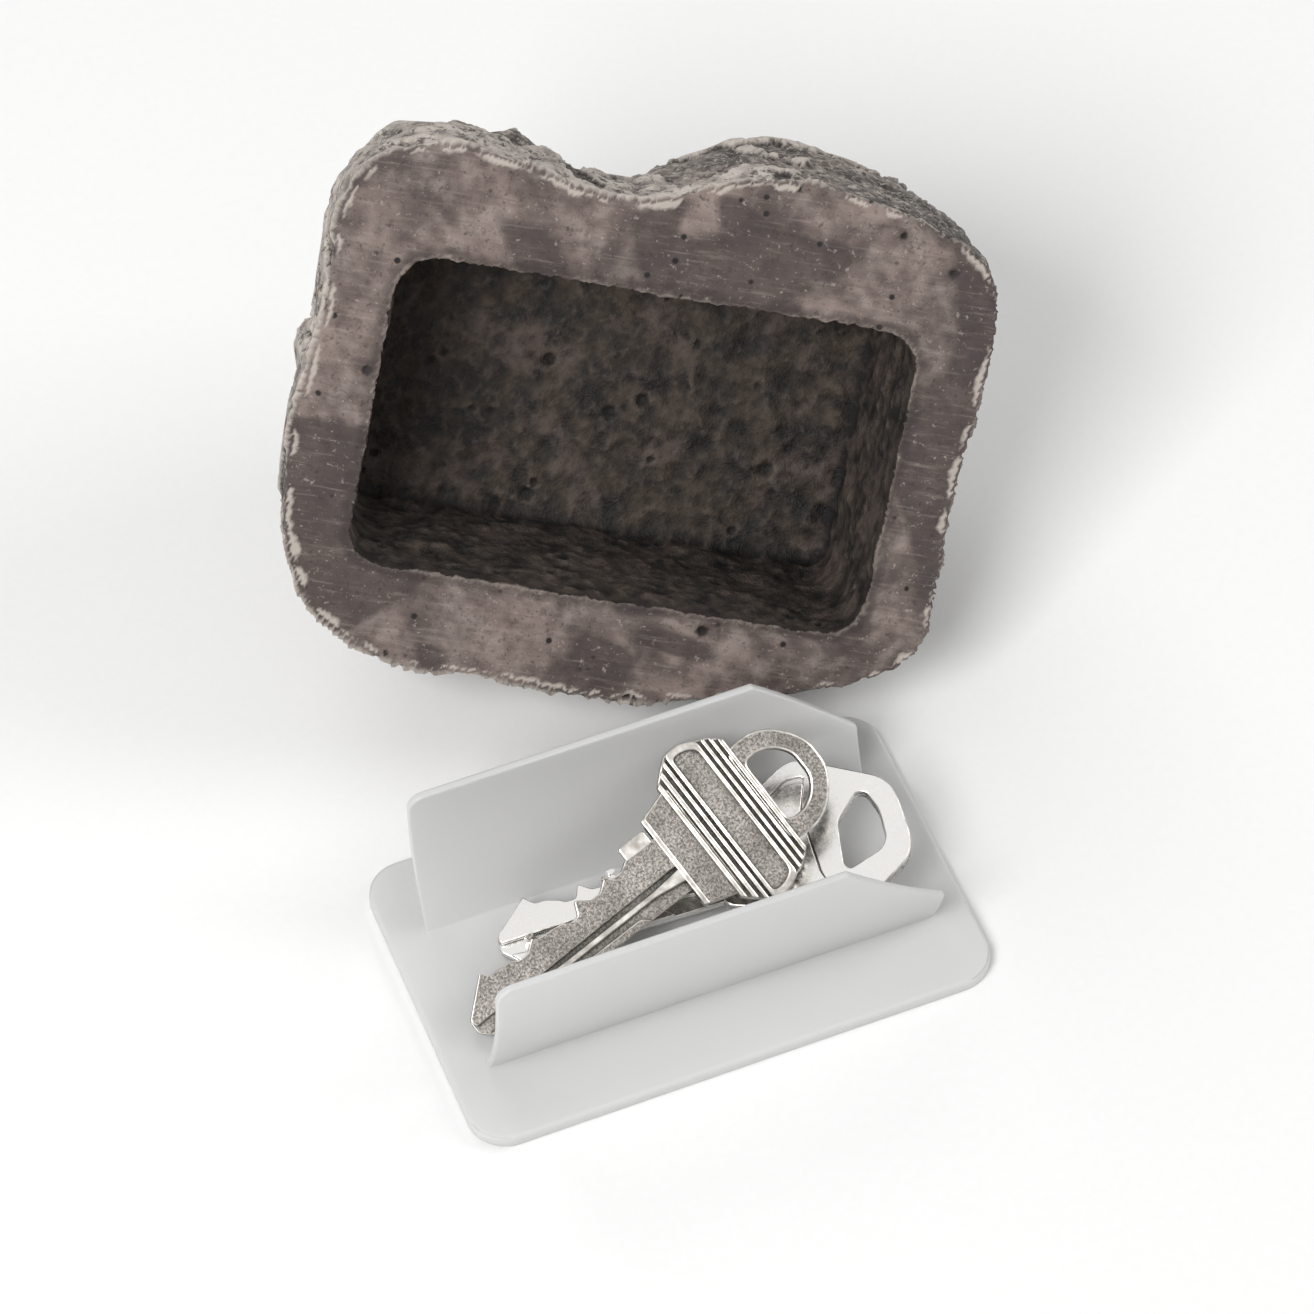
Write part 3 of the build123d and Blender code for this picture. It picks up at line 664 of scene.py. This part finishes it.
def buildRibbedKey(look):
    work = bmesh.new()
    addBlade(work, look)
    thick, start = look["half"], look["blade"]
    stop = [(start - 4.4, 3.5), (start - 0.4, 3.5), (start - 0.4, 5.7), (start - 4.4, 5.7)]
    addPlate(work, [roundCorners(stop, 0.5)], -thick, thick, 0.25, True)
    wide = look["shoulderWidth"] / 2
    reach = start + look["shoulder"]
    shoulder = [(start, -wide), (reach + 1, -wide - 1.6), (reach + 1, wide + 1.6), (start, wide)]
    addPlate(work, [roundCorners(shoulder, 0.9)], -thick, thick, 0.22)
    lip = [(start, -wide), (start + 0.75, -wide - 0.2), (start + 0.75, wide + 0.2), (start, wide)]
    wide = look["blockWidth"] / 2
    steps = ((0, 2.8), (1.6, 1.4), (3.2, 0.0), (5.6, 0.0), (7.0, 0.9), (8.4, 1.3), (look["block"], 2.8))
    outline = [(reach + x, -wide + cut) for x, cut in steps]
    outline += [(reach + x, wide - cut) for x, cut in reversed(steps)]
    addPlate(work, [roundCorners(outline, 0.8)], -look["coreHalf"], look["coreHalf"], 0.2)

    def widthAt(x):
        for (left, cutLeft), (right, cutRight) in zip(steps, steps[1:]):
            if left <= x <= right:
                return wide - cutLeft - (cutRight - cutLeft) * (x - left) / (right - left)
        return wide

    def bar(left, right, inset=0.0):
        ends = [(x, widthAt(x) - inset) for x in (left, (left + right) / 2, right)]
        return [(reach + x, -y) for x, y in ends] + [(reach + x, y) for x, y in reversed(ends)]

    loop, end = look["loopWidth"] / 2, look["length"]
    back = reach + look["block"]
    ring = [(back - 1, -loop), (back + 3.2, -loop), (back + 5.6, -loop + 1.2), (end - 0.9, -loop + 3.6),
            (end, -loop + 5.6), (end, loop - 5.6), (end - 0.9, loop - 3.6), (back + 5.6, loop - 1.2),
            (back + 3.2, loop), (back - 1, loop)]
    window = [(back + 0.4, -loop + 2.6), (back + 2.8, -loop + 2.6), (back + 4.6, -loop + 3.6),
              (end - 2.6, -loop + 5.4), (end - 2.6, loop - 5.4), (back + 4.6, loop - 3.6),
              (back + 2.8, loop - 2.6), (back + 0.4, loop - 2.6)]
    addPlate(work, [roundCorners(ring, 2.2), roundCorners(window, 1.2)], -thick, thick, 0.3)
    for side in (1, -1):
        bottom, top = sorted((side * 0.5, side * look["blockHalf"]))
        for left, right in look["ribs"]:
            addPlate(work, [roundCorners(bar(left, right, 0.15), 0.3)], bottom, top, 0.22, True)
        left, right = look["frame"]
        wall = look["frameWall"]
        hole = roundCorners(bar(left + wall, right - wall, 1.1), 0.9)
        addPlate(work, [roundCorners(bar(left, right), 0.8), hole], bottom, top, 0.2, True)
        bottom, top = sorted((0.0, side * (thick + 0.12)))
        addPlate(work, [roundCorners(lip, 0.3)], bottom, top, 0.2, True)
    return finishKey(work, "ribbedKey", look, blastedNickel)


def buildAngularKey(look):
    work = bmesh.new()
    addBlade(work, look)
    start, wide, end, thick = look["blade"], look["bowWidth"] / 2, look["length"], look["half"]
    upper = [(start, 4.9), (start + 3.0, 6.0), (start + 11.8, wide - 0.5), (start + 13.6, wide),
             (start + 15.4, wide - 0.7), (end - 1.6, wide - 5.4), (end - 0.4, wide - 7.0), (end, wide - 8.8)]
    bow = upper + [(x, -y) for x, y in reversed(upper)]
    window = [(end - 9.2, -4.2), (end - 8.6, -5.0), (end - 4.0, -3.6), (end - 3.0, -2.2),
              (end - 2.8, 1.6), (end - 3.6, 4.4), (end - 4.8, 4.8), (end - 8.2, 1.8)]
    half = [(start + 3.6, 4.2), (start + 12.2, wide - 2.4), (start + 14.6, wide - 2.6), (start + 12.8, 4.6)]
    panel = half + [(x, -y) for x, y in reversed(half)]
    lowered = thick - look["sunk"]
    outer, hole = roundCorners(bow, 1.4), roundCorners(window, 0.9)
    addPlate(work, [outer, hole], -lowered, lowered, 0.2)
    for side in (1, -1):
        bottom, top = sorted((0.0, side * thick))
        addPlate(work, [outer, hole, roundCorners(panel, 0.8)], bottom, top, 0.16)
    # the sunk panel is only a pressed line: its floor comes back up inside the line
    for side in (1, -1):
        bottom, top = sorted((0.0, side * (thick - 0.06)))
        centre = Vector((sum(x for x, y in panel) / len(panel), 0.0))
        inner = [centre + (Vector(p) - centre) * 0.93 for p in panel]
        addPlate(work, [roundCorners(inner, 0.8)], bottom, top, 0.14)
    return finishKey(work, "angularKey", look, polishedNickel)


ribbedKey = buildRibbedKey(ribbedLook)
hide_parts("key_a")
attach(ribbedKey, "ribbed_key")
angularKey = buildAngularKey(angularLook)
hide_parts("key_b")
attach(angularKey, "angular_key")
print("keys cut")
